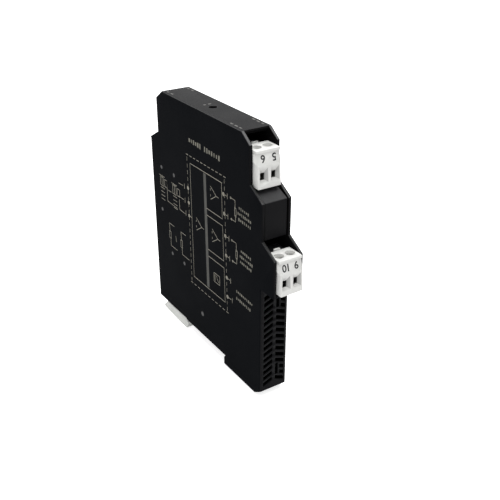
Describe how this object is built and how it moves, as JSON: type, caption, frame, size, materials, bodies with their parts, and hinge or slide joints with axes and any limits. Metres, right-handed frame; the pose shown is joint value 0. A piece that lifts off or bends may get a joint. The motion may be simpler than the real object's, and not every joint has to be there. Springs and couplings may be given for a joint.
{
  "type": "signal isolator",
  "caption": "Slim rail-mounted signal isolator: black stepped housing with a chevron vent grille, plug-in screw terminals on tiers and a sprung latch for the rail.",
  "frame": {"origin": "middle of the rail seat, on the plane of the rail's brims", "axes": "+X along the mounting rail, away from the printed wall; +Y towards the latch, away from the terminals; +Z away from the rail, towards the front face"},
  "size_m": [0.0136, 0.103, 0.1148],
  "materials": {
    "housing_black": "fine moulded grain",
    "cover_black": "fine moulded grain with pale printing",
    "blank_black": "smooth moulded",
    "plug_white": "smooth moulded",
    "screw_steel": "zinc plated",
    "clamp_steel": "zinc plated",
    "contact_brass": "plain",
    "header_black": "smooth moulded",
    "pin_tin": "tin plated",
    "board_green": "solder mask",
    "core_ferrite": "ground ferrite",
    "coil_tape": "taped winding",
    "chip_black": "moulded",
    "capacitor_blue": "shrink sleeve",
    "resistor_black": "glazed",
    "led_clear": "clear moulded",
    "pipe_dark": "smoked",
    "latch_grey": "smooth moulded",
    "spring_steel": "drawn wire"
  },
  "bodies": {
    "housing": {"main_housing": "housing_black", "side_cover": "cover_black", "middle_blank": "blank_black", "upper_header": "header_black", "lower_header": "header_black", "input_header": "header_black", "upper_pins": "pin_tin", "lower_pins": "pin_tin", "input_pins": "pin_tin", "circuit_board": "board_green", "transformer_core": "core_ferrite", "transformer_coil": "coil_tape", "isolation_chips": "chip_black", "capacitors": "capacitor_blue", "chip_resistors": "resistor_black", "status_led": "led_clear", "light_pipe": "pipe_dark", "latch_spring": "spring_steel"},
    "latch": {"rail_latch": "latch_grey"},
    "upper_plug_body": {"upper_plug": "plug_white", "upper_contacts": "contact_brass"},
    "upper_screw_near_body": {"upper_screw_near": "screw_steel"},
    "upper_clamp_near_body": {"upper_clamp_near": "clamp_steel"},
    "upper_screw_far_body": {"upper_screw_far": "screw_steel"},
    "upper_clamp_far_body": {"upper_clamp_far": "clamp_steel"},
    "lower_plug_body": {"lower_plug": "plug_white", "lower_contacts": "contact_brass"},
    "lower_screw_near_body": {"lower_screw_near": "screw_steel"},
    "lower_clamp_near_body": {"lower_clamp_near": "clamp_steel"},
    "lower_screw_far_body": {"lower_screw_far": "screw_steel"},
    "lower_clamp_far_body": {"lower_clamp_far": "clamp_steel"}
  },
  "joints": [
    {"name": "latch_slide", "type": "slide", "parent": "housing", "child": "latch", "axis": [0, 1, 0], "range_m": [0, 0.0035], "stiffness_N_per_m": 2000, "springref_m": -0.002, "deforming": ["latch_spring"]},
    {"name": "upper_plug_pull", "type": "slide", "parent": "housing", "child": "upper_plug_body", "axis": [0, -1, 0], "range_m": [0, 0.015]},
    {"name": "upper_screw_near_turn", "type": "hinge", "parent": "upper_plug_body", "child": "upper_screw_near_body", "pos_m": [-0.00254, -0.0356, 0.1006], "axis": [0, 0, -1], "range_deg": [0, 1800]},
    {"name": "upper_clamp_near_rise", "type": "slide", "parent": "upper_plug_body", "child": "upper_clamp_near_body", "axis": [0, 0, 1], "range_m": [0, 0.0025]},
    {"name": "upper_screw_far_turn", "type": "hinge", "parent": "upper_plug_body", "child": "upper_screw_far_body", "pos_m": [0.00254, -0.0356, 0.1006], "axis": [0, 0, -1], "range_deg": [0, 1800]},
    {"name": "upper_clamp_far_rise", "type": "slide", "parent": "upper_plug_body", "child": "upper_clamp_far_body", "axis": [0, 0, 1], "range_m": [0, 0.0025]},
    {"name": "lower_plug_pull", "type": "slide", "parent": "housing", "child": "lower_plug_body", "axis": [0, -1, 0], "range_m": [0, 0.015]},
    {"name": "lower_screw_near_turn", "type": "hinge", "parent": "lower_plug_body", "child": "lower_screw_near_body", "pos_m": [-0.00254, -0.0515, 0.0618], "axis": [0, 0, -1], "range_deg": [0, 1800]},
    {"name": "lower_clamp_near_rise", "type": "slide", "parent": "lower_plug_body", "child": "lower_clamp_near_body", "axis": [0, 0, 1], "range_m": [0, 0.0025]},
    {"name": "lower_screw_far_turn", "type": "hinge", "parent": "lower_plug_body", "child": "lower_screw_far_body", "pos_m": [0.00254, -0.0515, 0.0618], "axis": [0, 0, -1], "range_deg": [0, 1800]},
    {"name": "lower_clamp_far_rise", "type": "slide", "parent": "lower_plug_body", "child": "lower_clamp_far_body", "axis": [0, 0, 1], "range_m": [0, 0.0025]}
  ],
  "couplings": [
    {"joint": "upper_screw_near_turn", "follows": "upper_clamp_near_rise", "rad_per_m": 12566},
    {"joint": "upper_screw_far_turn", "follows": "upper_clamp_far_rise", "rad_per_m": 12566},
    {"joint": "lower_screw_near_turn", "follows": "lower_clamp_near_rise", "rad_per_m": 12566},
    {"joint": "lower_screw_far_turn", "follows": "lower_clamp_far_rise", "rad_per_m": 12566}
  ]
}
